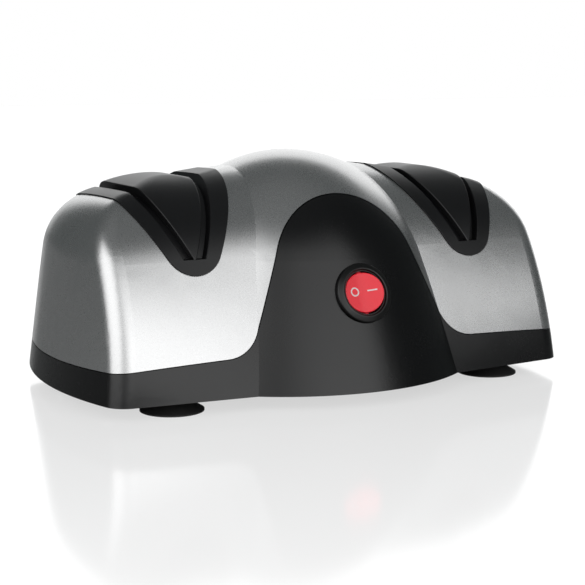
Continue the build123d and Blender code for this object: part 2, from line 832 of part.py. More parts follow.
for middle, name in zip(cradle_spots, ("left", "right")):
    isolator_start = middle - isolator_width / 2
    isolator = ring(isolator_start, isolator_start + isolator_width, isolator_radius, can_radius + seat_gap)
    keep(isolator, f"{name}_isolator")
    with BuildPart() as strap:
        with BuildSketch(Plane.YZ.offset(middle - cradle_width / 2)):
            with Locations((crest_y, axis_z)):
                Circle(isolator_radius + seat_gap + strap_thickness)
            with Locations((crest_y, axis_z + strap_thickness / 2)):
                Rectangle(2 * cradle_reach, strap_thickness)
            with Locations((crest_y, axis_z)):
                Circle(isolator_radius + seat_gap, mode=Mode.SUBTRACT)
            with Locations((crest_y, axis_z - reach / 2)):
                Rectangle(2 * reach, reach, mode=Mode.SUBTRACT)
        extrude(amount=cradle_width)
        with BuildSketch(Plane.XY.offset(axis_z)):
            with Locations([spot for spot in strap_screws if abs(spot[0] - middle) < cradle_width]):
                Circle(screw_radius + 2 * screw_play)
        extrude(amount=strap_thickness, mode=Mode.SUBTRACT)
    keep(strap.part, f"{name}_strap")


# ---------------------------------------------------------------- grinding wheels
# Each wheel sits on a hub's spigot and is clamped by a washer and a nut.
for side, name in ends:
    middle = side * station_x
    inner_face = middle - side * wheel_thickness / 2
    outer_face = middle + side * wheel_thickness / 2
    flange_face = inner_face - side * hub_flange
    spigot_end = outer_face - side * hub_shortfall
    washer_face = outer_face + side * washer_thickness
    nut_face = washer_face + side * nut_height
    with BuildPart() as grinding_wheel:
        with BuildSketch(Plane.YZ.offset(inner_face)):
            with Locations((crest_y, axis_z)):
                Circle(wheel_radius)
        extrude(amount=side * wheel_thickness)
        chamfer(grinding_wheel.edges().filter_by(GeomType.CIRCLE), length=wheel_chamfer)
        with BuildSketch(Plane.YZ.offset(inner_face)):
            with Locations((crest_y, axis_z)):
                Circle(wheel_bore + fit)
        extrude(amount=side * wheel_thickness, mode=Mode.SUBTRACT)
    keep(grinding_wheel.part, f"{name}_grinding_wheel")
    with BuildPart() as wheel_hub:
        with BuildSketch(Plane.YZ.offset(flange_face)):
            with Locations((crest_y, axis_z)):
                Circle(hub_flange_radius)
        extrude(amount=side * hub_flange)
        with BuildSketch(Plane.YZ.offset(inner_face)):
            with Locations((crest_y, axis_z)):
                Circle(wheel_bore)
        extrude(amount=spigot_end - inner_face)
        with BuildSketch(Plane.YZ.offset(flange_face)):
            with Locations((crest_y, axis_z)):
                Circle(shaft_radius + seat_gap)
        extrude(amount=spigot_end - flange_face, mode=Mode.SUBTRACT)
    keep(wheel_hub.part, f"{name}_wheel_hub")
    keep(ring(outer_face, washer_face, washer_radius, shaft_radius + fit), f"{name}_washer")
    with BuildPart() as wheel_nut:
        with BuildSketch(Plane.YZ.offset(washer_face)):
            with Locations((crest_y, axis_z)):
                RegularPolygon(nut_flats / 2, 6, major_radius=False)
                Circle(shaft_radius + seat_gap, mode=Mode.SUBTRACT)
        extrude(amount=nut_face - washer_face)
    keep(wheel_nut.part, f"{name}_wheel_nut")


# ---------------------------------------------------------------- switch
# Round rocker switch: barrel with a bezel, a rocker on two pivots, two spades.
seat = panel.offset(-seat_depth)
pivot = panel.offset(-pivot_depth)
with BuildPart() as switch_body:
    with BuildSketch(seat):
        Circle(bezel_radius)
    extrude(amount=bezel_thickness)
    fillet(switch_body.edges().filter_by(GeomType.CIRCLE).sort_by(Axis(panel.origin, panel.z_dir))[-1],
           radius=bezel_edge)
    with BuildSketch(seat):
        Circle(body_radius)
    extrude(amount=-body_depth)
    with BuildSketch(panel.offset(-lower_wall - switch_fit)):
        Rectangle(clip_width, 2 * (body_radius + clip_reach))
    extrude(amount=-clip_depth)
    with BuildSketch(panel.offset(bezel_thickness)):
        Circle(rocker_radius + rocker_clearance)
    extrude(amount=-bezel_thickness - cavity_depth, mode=Mode.SUBTRACT)
    with BuildSketch(Plane(pivot.origin, x_dir=pivot.x_dir, z_dir=pivot.y_dir)):
        Circle(pivot_radius + pivot_clearance)
    extrude(amount=pivot_reach + pivot_clearance, both=True, mode=Mode.SUBTRACT)
    with BuildSketch(panel.offset(-cavity_depth)):
        with Locations((-spade_spread, 0), (spade_spread, 0)):
            Rectangle(spade_thickness + 2 * seat_gap, spade_width + 2 * seat_gap)
    extrude(amount=-body_depth, mode=Mode.SUBTRACT)
keep(switch_body.part, "switch_body")

with BuildPart() as switch_terminals:
    with BuildSketch(panel.offset(-cavity_depth + spade_thickness)):
        with Locations((-spade_spread, 0), (spade_spread, 0)):
            Rectangle(spade_thickness, spade_width)
    extrude(amount=-(body_depth + seat_depth - cavity_depth + spade_thickness + spade_length))
keep(switch_terminals.part, "switch_terminals")

tilt = radians(rocker_tilt)
rocker_plane = Plane(
    pivot.origin,
    x_dir=pivot.x_dir * cos(tilt) + pivot.z_dir * sin(tilt),
    z_dir=pivot.z_dir * cos(tilt) - pivot.x_dir * sin(tilt),
)
rocker_top = pivot_depth + bezel_thickness - seat_depth
rocker_rise = rocker_top + rocker_radius * tan(radians(rocker_tilt))
with BuildPart() as switch_rocker:
    with BuildSketch(rocker_plane.offset(-rocker_skirt)):
        Circle(rocker_radius)
    extrude(amount=rocker_skirt + rocker_rise)
    across = Plane(rocker_plane.origin, x_dir=rocker_plane.x_dir, z_dir=-rocker_plane.y_dir)
    with BuildSketch(across) as face_room:
        with BuildLine():
            Polyline(
                (0, rocker_top), (rocker_radius, rocker_rise), (rocker_radius, 2 * rocker_rise),
                (-rocker_radius, 2 * rocker_rise), (-rocker_radius, rocker_rise), close=True,
            )
        make_face()
        fillet(face_room.vertices().sort_by(Axis.Y)[0], radius=rocker_valley)
    extrude(amount=rocker_radius, both=True, mode=Mode.SUBTRACT)
    barrel = switch_rocker.faces().filter_by(GeomType.CYLINDER).sort_by(SortBy.AREA)[-1]
    fillet([edge for edge in barrel.edges() if not edge.is_closed], radius=rocker_edge)
    with BuildSketch(Plane(rocker_plane.origin, x_dir=rocker_plane.x_dir, z_dir=rocker_plane.y_dir)):
        Circle(pivot_radius)
    extrude(amount=pivot_reach, both=True)
keep(switch_rocker.part, "switch_rocker")


# ---------------------------------------------------------------- circuit board
board_top = board_bottom + board_thickness
with BuildPart() as circuit_board:
    with BuildSketch(Plane.XY.offset(board_bottom)):
        with Locations((can_middle, board_y)):
            Rectangle(board_length, board_width)
        with Locations(standoffs):
            Circle(screw_radius + screw_play, mode=Mode.SUBTRACT)
        with Locations((rectifier_x, board_y), (capacitor_x, board_y)):
            with GridLocations(0, lead_pitch, 1, 2):
                Circle(lead_radius + seat_gap, mode=Mode.SUBTRACT)
    extrude(amount=board_thickness)
keep(circuit_board.part, "circuit_board")

with BuildPart() as bridge_rectifier:
    with BuildSketch(Plane.XY.offset(board_top)):
        with Locations((rectifier_x, board_y)):
            Rectangle(rectifier_length, rectifier_width)
    extrude(amount=rectifier_height)
    with BuildSketch(Plane.XY.offset(board_top)):
        with Locations((rectifier_x, board_y)):
            with GridLocations(0, lead_pitch, 1, 2):
                Circle(lead_radius)
    extrude(amount=-board_thickness - lead_end)
keep(bridge_rectifier.part, "bridge_rectifier")

with BuildPart() as capacitor:
    with BuildSketch(Plane.XY.offset(board_top)):
        with Locations((capacitor_x, board_y)):
            Circle(capacitor_radius)
    extrude(amount=capacitor_height)
    fillet(capacitor.edges().filter_by(GeomType.CIRCLE).sort_by(Axis.Z)[-1], radius=capacitor_round)
    with BuildSketch(Plane.XY.offset(board_top)):
        with Locations((capacitor_x, board_y)):
            with GridLocations(0, lead_pitch, 1, 2):
                Circle(lead_radius)
    extrude(amount=-board_thickness - lead_end)
keep(capacitor.part, "capacitor")


# ---------------------------------------------------------------- cord inlet
# Rubber grommet in the rear of the rim, seated on both faces of the wall.
with BuildPart() as outer_flange:
    with BuildSketch(gland_plane.offset(-lower_wall)):
        Circle(gland_flange)
    extrude(amount=lower_wall + gland_flange_thickness)
    add(outer, mode=Mode.SUBTRACT)
with BuildPart() as inner_flange:
    with BuildSketch(gland_plane.offset(-lower_wall - 2 * gland_flange_thickness)):
        Circle(gland_inner_flange)
    extrude(amount=lower_wall)
    add(housing_inner, mode=Mode.INTERSECT)
    split(bisect_by=Plane.XY.offset(plate_top + stem_clearance), keep=Keep.TOP)
with BuildPart() as cord_gland:
    with BuildSketch(gland_plane.offset(-lower_wall)):
        Circle(gland_neck)
    extrude(amount=lower_wall)
    add(outer_flange.part)
    add(inner_flange.part)
    with BuildSketch(gland_plane):
        Circle(gland_bore)
    extrude(amount=reach, both=True, mode=Mode.SUBTRACT)
keep(cord_gland.part, "cord_gland")


# ---------------------------------------------------------------- feet
# Rubber suction cups; each stem passes through the bottom plate and ends in a head.
for name, (x, y) in foot_spots.items():
    with BuildPart() as foot:
        with BuildSketch(Plane((x, y, 0), x_dir=(1, 0, 0), z_dir=(0, -1, 0))):
            with BuildLine():
                Polyline(
                    (0, cup_wall), (cup_top_radius - cup_wall, cup_wall), (cup_radius - cup_rim, 0),
                    (cup_radius, 0), (cup_radius, cup_edge), (cup_top_radius, cup_height),
                    (foot_neck, cup_height), (foot_neck, foot_height), (foot_stem, foot_height),
                    (foot_stem, plate_top), (foot_head, plate_top),
                    (foot_head - foot_head_taper, plate_top + foot_head_height),
                    (0, plate_top + foot_head_height), close=True,
                )
            make_face()
        revolve(axis=Axis((x, y, 0), (0, 0, 1)))
    keep(foot.part, f"{name}_foot")


# ---------------------------------------------------------------- screws
case_head_top = foot_height + screw_recess
with BuildPart() as case_screws:
    with BuildSketch(Plane.XY.offset(case_head_top - screw_head_height)):
        with Locations(post_spots):
            Circle(screw_head_radius)
    extrude(amount=screw_head_height)
    with BuildSketch(Plane.XY.offset(case_head_top)):
        with Locations(post_spots):
            Circle(screw_radius)
    extrude(amount=plate_top - case_head_top + screw_grip - screw_end_room)
keep(case_screws.part, "case_screws")

with BuildPart() as strap_screw_set:
    with BuildSketch(Plane.XY.offset(axis_z + strap_thickness)):
        with Locations(strap_screws):
            Circle(screw_head_radius)
    extrude(amount=screw_head_height)
    with BuildSketch(Plane.XY.offset(axis_z + strap_thickness)):
        with Locations(strap_screws):
            Circle(screw_radius)
    extrude(amount=-screw_grip)
keep(strap_screw_set.part, "strap_screws")

with BuildPart() as board_screws:
    with BuildSketch(Plane.XY.offset(board_top)):
        with Locations(standoffs):
            Circle(screw_head_radius)
    extrude(amount=screw_head_height)
    with BuildSketch(Plane.XY.offset(board_top)):
        with Locations(standoffs):
            Circle(screw_radius)
    extrude(amount=board_screw_room - board_thickness - standoff_height)
keep(board_screws.part, "board_screws")
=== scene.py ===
import json
from math import cos, pi, radians, sin, sqrt, tan

import bpy
from mathutils import Matrix, Vector


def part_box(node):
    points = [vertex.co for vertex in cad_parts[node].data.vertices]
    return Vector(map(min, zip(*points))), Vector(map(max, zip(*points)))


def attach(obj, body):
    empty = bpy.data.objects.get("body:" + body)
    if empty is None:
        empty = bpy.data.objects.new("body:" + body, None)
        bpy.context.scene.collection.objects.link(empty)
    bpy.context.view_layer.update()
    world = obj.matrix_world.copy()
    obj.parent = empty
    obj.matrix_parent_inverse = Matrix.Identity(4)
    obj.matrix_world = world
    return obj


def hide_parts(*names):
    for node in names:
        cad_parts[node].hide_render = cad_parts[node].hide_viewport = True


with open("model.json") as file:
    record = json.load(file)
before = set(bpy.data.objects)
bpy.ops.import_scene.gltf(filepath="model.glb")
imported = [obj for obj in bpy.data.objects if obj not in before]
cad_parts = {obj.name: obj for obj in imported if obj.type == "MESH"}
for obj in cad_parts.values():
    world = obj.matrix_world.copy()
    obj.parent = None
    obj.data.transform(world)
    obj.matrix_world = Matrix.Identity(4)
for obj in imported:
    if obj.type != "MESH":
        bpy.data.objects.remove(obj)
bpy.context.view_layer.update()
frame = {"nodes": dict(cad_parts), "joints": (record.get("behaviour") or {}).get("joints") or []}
nodes = frame["nodes"]

# ---------------------------------------------------------------- camera
# A long lens stands low in front of the left station, so that the left end, the
# switch side and the rise of the dome are all seen. Lengths are in metres.
frame_width = 585                         # in pixels, as the next two lines are
focal_length = 1500.0
principal_x, principal_y = 286.600, 293.259
sensor_width = 36.0                       # in millimetres
nearest_seen = 0.01
camera_place = Vector((-0.2930, -0.5281, 0.1299))
yaw, pitch, roll = 0.5, 0.1585, 0.0013    # in radians

forward = Vector((sin(yaw) * cos(pitch), cos(yaw) * cos(pitch), -sin(pitch)))
level_right = Vector((cos(yaw), -sin(yaw), 0.0))
level_up = level_right.cross(forward)
right = level_right * cos(roll) + level_up * sin(roll)
up = level_up * cos(roll) - level_right * sin(roll)
camera_turn = Matrix((right, up, -forward)).transposed().to_4x4()

camera_data = bpy.data.cameras.new("camera")
camera_data.sensor_width = sensor_width
camera_data.lens = sensor_width * focal_length / frame_width
camera_data.shift_x = (frame_width / 2 - principal_x) / frame_width
camera_data.shift_y = (principal_y - frame_width / 2) / frame_width
camera_data.clip_start = nearest_seen
camera = bpy.data.objects.new("camera", camera_data)
camera.matrix_world = Matrix.Translation(camera_place) @ camera_turn
bpy.context.scene.collection.objects.link(camera)
bpy.context.scene.camera = camera
bpy.context.scene.view_settings.view_transform = "Standard"


# ---------------------------------------------------------------- table
# A large sheet of glossy white acrylic. It keeps a soft shadow and a faint, slightly
# blurred mirror image of what stands on it.
class Signal:
    """A socket in a material's nodes; sums and products of signals add their Math nodes."""

    def __init__(self, tree, socket=None):
        self.tree, self.socket = tree, socket

    def node(self, kind, inputs=None, output=0, **settings):
        """Adds a node: its settings first, then a value or a signal for each input named."""
        made = self.tree.nodes.new("ShaderNode" + kind)
        for key, setting in settings.items():
            setattr(made, key, setting)
        for key, given in (inputs or {}).items():
            if isinstance(given, Signal):
                self.tree.links.new(given.socket, made.inputs[key])
            else:
                made.inputs[key].default_value = given
        return Signal(self.tree, made.outputs[output] if made.outputs else None)

    def maths(self, operation, other=0.0):
        return self.node("Math", {0: self, 1: other}, operation=operation)

    def clamped(self):
        return self.node("Clamp", {"Value": self})

    def __add__(self, other):
        return self.maths("ADD", other)

    def __sub__(self, other):
        return self.maths("SUBTRACT", other)

    def __rsub__(self, other):
        return self.node("Math", {0: other, 1: self}, operation="SUBTRACT")

    def __mul__(self, other):
        return self.maths("MULTIPLY", other)

    __radd__, __rmul__ = __add__, __mul__


def new_material(name):
    """A material with no nodes yet, and the start of its signals."""
    made = bpy.data.materials.new(name)
    made.use_nodes = True
    made.node_tree.nodes.clear()
    return made, Signal(made.node_tree)


def opaque(colour):
    """A colour as a shader's socket takes it."""
    return (*colour, 1.0)


def seen_directly(start):
    """1 for what the camera looks at, 0 for what light and reflections meet."""
    return start.node("LightPath", output="Is Camera Ray")


white = opaque((1.0, 1.0, 1.0))
table_reach = 3.0
table_colour = (0.36, 0.36, 0.36)
table_glow = 0.86                         # brings the sheet up to white for the camera alone
table_index = 1.38                        # of refraction, which sets the mirror image's strength
table_gloss_limit = 0.38                  # the most that it mirrors, at a flat angle
table_gloss_roughness = 0.11

acrylic, start = new_material("white_acrylic")
matt = start.node("BsdfDiffuse", {"Color": opaque(table_colour)})
glow = start.node("Emission", {"Color": white, "Strength": seen_directly(start) * table_glow})
lit = start.node("AddShader", {0: matt, 1: glow})
gloss = start.node("BsdfGlossy", {"Color": white, "Roughness": table_gloss_roughness})
mirrored = start.node("Fresnel", {"IOR": table_index}).maths("MINIMUM", table_gloss_limit)
acrylic_surface = start.node("MixShader", {0: mirrored, 1: lit, 2: gloss})
start.node("OutputMaterial", {"Surface": acrylic_surface})

bpy.ops.object.select_all(action="DESELECT")
bpy.ops.mesh.primitive_plane_add(size=2 * table_reach)
table = bpy.context.object
table.name = "table"
table.data.materials.append(acrylic)


# ---------------------------------------------------------------- studio
# A dim room with large soft panels standing round the table: a wide one in front with
# a smaller one hung beside it, a tall one at the left end and a white wall behind.
class Room:
    """The room's light by direction: turn goes from the front to the right, rise goes up."""

    def __init__(self, tree):
        self.start = Signal(tree).node("TexCoord", output="Generated")
        across, along, high = (
            self.start.node("SeparateXYZ", {"Vector": self.start}, axis) for axis in "XYZ"
        )
        self.turn = across.maths("ARCTAN2", 0 - along)
        self.rise = high.maths("ARCSINE")

    def edge(self, angle, outside, inside):
        """0 outside, 1 inside, with a smooth change between the two angles in degrees."""
        ends = {"Value": angle, "From Min": radians(outside), "From Max": radians(inside)}
        return self.start.node("MapRange", ends, interpolation_type="SMOOTHSTEP")

    def panel(self, strength, left, right, top, foot=None):
        """A soft panel; each side is a pair of angles, where it starts and where it is full."""
        sides = self.edge(self.turn, *left) * self.edge(self.turn, *right)
        light = sides * self.edge(self.rise, *top) * strength
        return light * self.edge(self.rise, *foot) if foot else light


room_tint = (0.90, 1.0, 1.0)
room_level = 0.085
ceiling_level = 0.07
ceiling_start, ceiling_full = 45, 85
backdrop_level = 1.0

world = bpy.data.worlds.new("studio")
world.use_nodes = True
world.node_tree.nodes.clear()
bpy.context.scene.world = world
room = Room(world.node_tree)
front_panel = room.panel(1.31, left=(-52, -12), right=(41, 27), top=(61, 36))
hung_beside = room.panel(0.78, left=(26, 36), right=(46, 36), top=(36, 26), foot=(6, 17))
front_middle = room.panel(0.48, left=(-22, 2), right=(42, 26), top=(42, 12))
left_panel = room.panel(1.60, left=(-118, -90), right=(-26, -58), top=(62, 40))
white_wall = room.panel(1.15, left=(104, 124), right=(180, 172), top=(38, 35))
ceiling = room.edge(room.rise, ceiling_start, ceiling_full) * ceiling_level
panels = front_panel + hung_beside + front_middle + left_panel + white_wall + ceiling
dim = room.start.node("Background", {"Color": opaque(room_tint), "Strength": room_level})
bright = room.start.node("Background", {"Color": white, "Strength": panels})
lit_room = room.start.node("AddShader", {0: dim, 1: bright})
backdrop = room.start.node("Background", {"Color": white, "Strength": backdrop_level})
shown = room.start.node("MixShader", {0: seen_directly(room.start), 1: lit_room, 2: backdrop})
room.start.node("OutputWorld", {"Surface": shown})


# ---------------------------------------------------------------- silver casing
# One thin ABS moulding, the long body and the dome together, sprayed with silver
# lacquer: fine flakes under a satin clear coat.
def noise(start, scale, detail, roughness=0.5):
    """A pattern of that many grains a metre, in the object's own space."""
    place = start.node("TexCoord", output="Object")
    grains = {"Vector": place, "Scale": scale, "Detail": detail, "Roughness": roughness}
    return start.node("TexNoise", grains, "Fac")


def tone(start, factor, dark, light):
    """A colour between two others, by a signal from 0 to 1."""
    first_colour, second_colour, mixed_colour = 6, 7, 2     # the Mix node's sockets for colours
    ends = {"Factor": factor, first_colour: opaque(dark), second_colour: opaque(light)}
    return start.node("Mix", ends, mixed_colour, data_type="RGBA")


def bump(start, height, distance, strength):
    return start.node("Bump", {"Height": height, "Distance": distance, "Strength": strength})


def finish(start, **sockets):
    """Ends a material in one Principled shader; underscores stand for blanks."""
    named = {key.replace("_", " "): given for key, given in sockets.items()}
    shader = start.node("BsdfPrincipled", named)
    start.node("OutputMaterial", {"Surface": shader})


def dress(name, *pieces):
    """Puts a material on CAD nodes, in place of their plain one."""
    for piece in pieces:
        nodes[piece].data.materials.clear()
        nodes[piece].data.materials.append(bpy.data.materials[name])


silver_dark, silver_light = (0.55, 0.55, 0.55), (0.70, 0.70, 0.705)
silver_roughness = 0.22
flake_grain, flake_detail, flake_harshness = 2600.0, 2.0, 0.7
flake_contrast, flake_roughness = 1.5, 0.08
flake_height, flake_relief = 0.00002, 0.35
cloud_grain, cloud_detail, cloud_roughness = 60.0, 3.0, 0.04

_, start = new_material("silver_lacquer")
flakes = noise(start, flake_grain, flake_detail, flake_harshness)
clouds = noise(start, cloud_grain, cloud_detail)
sparkle = (flakes * flake_contrast - (flake_contrast - 1) / 2).clamped()
finish(
    start,
    Base_Color=tone(start, sparkle, silver_dark, silver_light),
    Metallic=0.95,
    Roughness=silver_roughness + flakes * flake_roughness + clouds * cloud_roughness,
    Normal=bump(start, flakes, flake_height, flake_relief),
    Coat_Weight=0.25,
    Coat_Roughness=0.10,
)
dress("silver_lacquer", "upper_shell")

# ---------------------------------------------------------------- black casing
# The lower housing with its arched front panel and the flat bottom plate: black ABS
# with a satin, very finely eroded surface.
grain_detail, grain_harshness, grain_relief = 3.0, 0.6, 0.5
grain_share, cloud_share = 0.6, 0.4
plastic_cloud_grain, plastic_cloud_detail = 35.0, 2.0
plastic_polish, plastic_cloud_roughness, plastic_grain_roughness = 0.05, 0.07, 0.05


def moulded(name, dark, light, roughness, grain, depth, **more):
    """Moulded plastic or rubber: a fine eroded grain and slow changes of tone."""
    _, start = new_material(name)
    fine = noise(start, grain, grain_detail, grain_harshness)
    slow = noise(start, plastic_cloud_grain, plastic_cloud_detail)
    clouded = roughness - plastic_polish + slow * plastic_cloud_roughness
    finish(
        start,
        Base_Color=tone(start, (fine * grain_share + slow * cloud_share).clamped(), dark, light),
        Roughness=clouded + fine * plastic_grain_roughness,
        Normal=bump(start, fine, depth, grain_relief),
        **more,
    )


moulded("black_abs", (0.0015, 0.0015, 0.0018), (0.004, 0.004, 0.0045),
        roughness=0.25, grain=900.0, depth=0.00003)
moulded("black_plate", (0.012, 0.012, 0.013), (0.022, 0.022, 0.024),
        roughness=0.55, grain=1500.0, depth=0.00004)
dress("black_abs", "lower_housing")
dress("black_plate", "bottom_plate")

# ---------------------------------------------------------------- guide inserts
# Black saddles with two slots and the wedge between them, moulded in a tougher,
# slightly softer plastic than the casing.
moulded("insert_plastic", (0.003, 0.003, 0.0035), (0.007, 0.007, 0.008),
        roughness=0.34, grain=1500.0, depth=0.00003)
dress("insert_plastic", "left_guide_insert", "right_guide_insert")

# ---------------------------------------------------------------- switch
# Round rocker switch: black barrel and bezel, a red rocker that is pressed at O or
# at I, and tinned spades behind.
moulded("bezel_plastic", (0.002, 0.002, 0.002), (0.005, 0.005, 0.005),
        roughness=0.28, grain=2000.0, depth=0.00001)
moulded("rocker_red", (0.94, 0.016, 0.034), (0.98, 0.024, 0.048),
        roughness=0.30, grain=1600.0, depth=0.00001, Coat_Weight=0.10, Coat_Roughness=0.25)
dress("bezel_plastic", "switch_body")
dress("rocker_red", "switch_rocker")

# The barrel's flange rises in a shallow cone to a narrow rounded lip at the opening.
switch_place = Vector((0.0, -0.0523456, 0.0408))       # where the switch's axis meets the panel
flange_profile = (                                     # radius and height above the panel
    (0.01150, 0.00072), (0.01142, 0.00104), (0.01118, 0.00122),
    (0.00990, 0.00158), (0.00960, 0.00176), (0.00925, 0.00180),
    (0.00895, 0.00162), (0.00876, 0.00128), (0.00862, 0.00072),
)
flange_sides = 96
flange_crease = radians(50)
seam_reach = 0.000002

rock = next(joint for joint in frame["joints"] if joint["name"] == "switch_rock")
rocker_pivot, upwards = Vector(rock["pos_m"]), Vector(rock["axis"])
outwards = Vector((0.0, -upwards.z, upwards.y))        # square to the panel at the switch


def all_of(mode):
    """Enters edit mode on the piece just added, with all of its vertices or edges selected."""
    bpy.ops.object.mode_set(mode="EDIT")
    bpy.ops.mesh.select_mode(type=mode)
    bpy.ops.mesh.select_all(action="SELECT")


bpy.ops.object.select_all(action="DESELECT")
start_radius, start_height = flange_profile[0]
bpy.ops.mesh.primitive_circle_add(
    vertices=flange_sides, radius=start_radius, location=(0, 0, start_height))
bpy.ops.object.transform_apply(location=True)
all_of("EDGE")
next_rings = flange_profile[1:] + flange_profile[:1]
for (radius, height), (next_radius, next_height) in zip(flange_profile, next_rings):
    share = next_radius / radius
    bpy.ops.mesh.extrude_region_move(TRANSFORM_OT_translate={"value": (0, 0, next_height - height)})
    bpy.ops.transform.resize(value=(share, share, 1.0), center_override=(0, 0, next_height))
bpy.ops.mesh.select_all(action="SELECT")
bpy.ops.mesh.remove_doubles(threshold=seam_reach)
bpy.ops.mesh.normals_make_consistent(inside=False)
bpy.ops.object.mode_set(mode="OBJECT")
flange = bpy.context.object
flange.name = flange.data.name = "switch_flange"
panel_turn = Matrix((Vector((1, 0, 0)), upwards, outwards)).transposed().to_4x4()
flange.data.transform(Matrix.Translation(switch_place) @ panel_turn)
bpy.ops.object.shade_smooth_by_angle(angle=flange_crease)
flange.data.materials.append(bpy.data.materials["bezel_plastic"])
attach(flange, "root")

# The marks O and I are pad-printed on the rocker's two faces in thin white ink, and
# follow the shallow valley between them.
rocker_tilt = radians(10.0)
rocker_middle = 0.0025                    # the two faces, run on, meet this far above the pivot
rocker_valley = 0.016                     # radius of the rounding between them
mark_height = 0.0005                      # above the rocker's own middle line
ring_middle, ring_outer, ring_inner = -0.0038, 0.00175, 0.00122
ring_sides = 72
dash_middle, dash_length, dash_width = 0.0033, 0.0038, 0.00055
dash_cells_along, dash_cells_across = 24, 2
ink_lift, ink_thickness = 0.00003, 0.00008

moulded("white_ink", (0.80, 0.66, 0.66), (0.92, 0.80, 0.80),
        roughness=0.45, grain=2500.0, depth=0.00001)


def rocker_face(across):
    """Height of the rocker's face above its pivot, along the rocker's own axis."""
    if abs(across) < rocker_valley * sin(rocker_tilt):
        valley_centre = rocker_middle + rocker_valley / cos(rocker_tilt)
        return valley_centre - sqrt(rocker_valley ** 2 - across ** 2)
    return rocker_middle + abs(across) * tan(rocker_tilt)


def print_on_rocker(name):
    """Lays the flat outline just added on the rocker's face and gives it the ink's thickness."""
    mark = bpy.context.object
    mark.name = mark.data.name = name
    film = mark.modifiers.new("film", "SOLIDIFY")
    film.thickness, film.offset = ink_thickness, 0.0
    bpy.ops.object.modifier_apply(modifier=film.name)
    along_rocker = Vector((cos(rocker_tilt), 0, 0)) + outwards * sin(rocker_tilt)
    off_rocker = outwards * cos(rocker_tilt) - Vector((sin(rocker_tilt), 0, 0))
    for vertex in mark.data.vertices:
        across, high, over = vertex.co
        over += rocker_face(across) + ink_lift
        vertex.co = rocker_pivot + along_rocker * across + upwards * high + off_rocker * over
    mark.data.materials.append(bpy.data.materials["white_ink"])
    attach(mark, "rocker")


bpy.ops.object.select_all(action="DESELECT")
ring_place = (ring_middle, mark_height, 0)
bpy.ops.mesh.primitive_circle_add(vertices=ring_sides, radius=ring_outer, location=ring_place)
bpy.ops.object.transform_apply(location=True)
all_of("EDGE")
bpy.ops.mesh.extrude_region_move()
shrink = ring_inner / ring_outer
bpy.ops.transform.resize(value=(shrink, shrink, 1.0), center_override=ring_place)
bpy.ops.object.mode_set(mode="OBJECT")
print_on_rocker("mark_O")

bpy.ops.object.select_all(action="DESELECT")
bpy.ops.mesh.primitive_grid_add(
    x_subdivisions=dash_cells_along, y_subdivisions=dash_cells_across, size=1.0)
all_of("VERT")
bpy.ops.transform.resize(value=(dash_length, dash_width, 1.0))
bpy.ops.transform.translate(value=(dash_middle, mark_height, 0))
bpy.ops.object.mode_set(mode="OBJECT")
print_on_rocker("mark_I")

# ---------------------------------------------------------------- rubber
# Matt black rubber: four suction feet whose stems pass through the bottom plate, the two
# rings that cushion the motor under its straps and the grommet of the cord's hole.
moulded("black_rubber", (0.010, 0.010, 0.010), (0.020, 0.020, 0.020),
        roughness=0.60, grain=900.0, depth=0.00005)
dress("black_rubber", "front_left_foot", "front_right_foot", "rear_left_foot", "rear_right_foot",
      "left_isolator", "right_isolator", "cord_gland")

# ---------------------------------------------------------------- metal pieces
# Turned, pressed and drawn metal: the motor's shaft, can, core, windings and bearings,
# the wheels' hubs, washers and nuts, the straps and screws, and the switch's spades.
metal_detail, metal_harshness, metal_share = 4.0, 0.6, 0.5
metal_cloud_grain, metal_cloud_detail = 50.0, 2.0
metal_polish, metal_cloud_roughness, metal_grain_roughness = 0.06, 0.12, 0.05
metal_depth, metal_relief = 0.00002, 0.4


def metal(name, dark, light, roughness, grain):
    """Bare or plated metal: fine tool marks and slow changes of gloss."""
    _, start = new_material(name)
    fine = noise(start, grain, metal_detail, metal_harshness)
    slow = noise(start, metal_cloud_grain, metal_cloud_detail)
    clouded = roughness - metal_polish + slow * metal_cloud_roughness
    finish(
        start,
        Base_Color=tone(start, (fine * metal_share + slow * metal_share).clamped(), dark, light),
        Metallic=1.0,
        Roughness=clouded + fine * metal_grain_roughness,
        Normal=bump(start, fine, metal_depth, metal_relief),
    )


for name, dark, light, roughness, grain, *pieces in (
    ("shaft_steel", (0.50, 0.50, 0.50), (0.62, 0.62, 0.61), 0.22, 700.0,
     "motor_shaft", "brush_springs"),
    ("zinc_plate", (0.55, 0.56, 0.58), (0.70, 0.71, 0.72), 0.30, 700.0,
     "left_washer", "right_washer", "left_wheel_nut", "right_wheel_nut",
     "left_strap", "right_strap", "case_screws", "strap_screws", "board_screws"),
    ("can_steel", (0.48, 0.49, 0.50), (0.60, 0.61, 0.62), 0.34, 700.0, "motor_can"),
    ("turned_aluminium", (0.66, 0.66, 0.67), (0.80, 0.80, 0.81), 0.28, 1200.0,
     "left_wheel_hub", "right_wheel_hub"),
    ("bronze", (0.40, 0.24, 0.10), (0.52, 0.33, 0.15), 0.38, 1500.0,
     "left_bearing", "right_bearing"),
    ("copper_bars", (0.62, 0.30, 0.17), (0.75, 0.40, 0.24), 0.28, 700.0, "commutator"),
    ("copper_wire", (0.45, 0.14, 0.05), (0.62, 0.24, 0.09), 0.26, 2500.0, "armature_windings"),
    ("core_steel", (0.20, 0.20, 0.21), (0.33, 0.33, 0.34), 0.42, 2000.0, "armature_core"),
    ("tin", (0.60, 0.60, 0.58), (0.74, 0.74, 0.72), 0.32, 700.0, "switch_terminals"),
):
    metal(name, dark, light, roughness, grain)
    dress(name, *pieces)

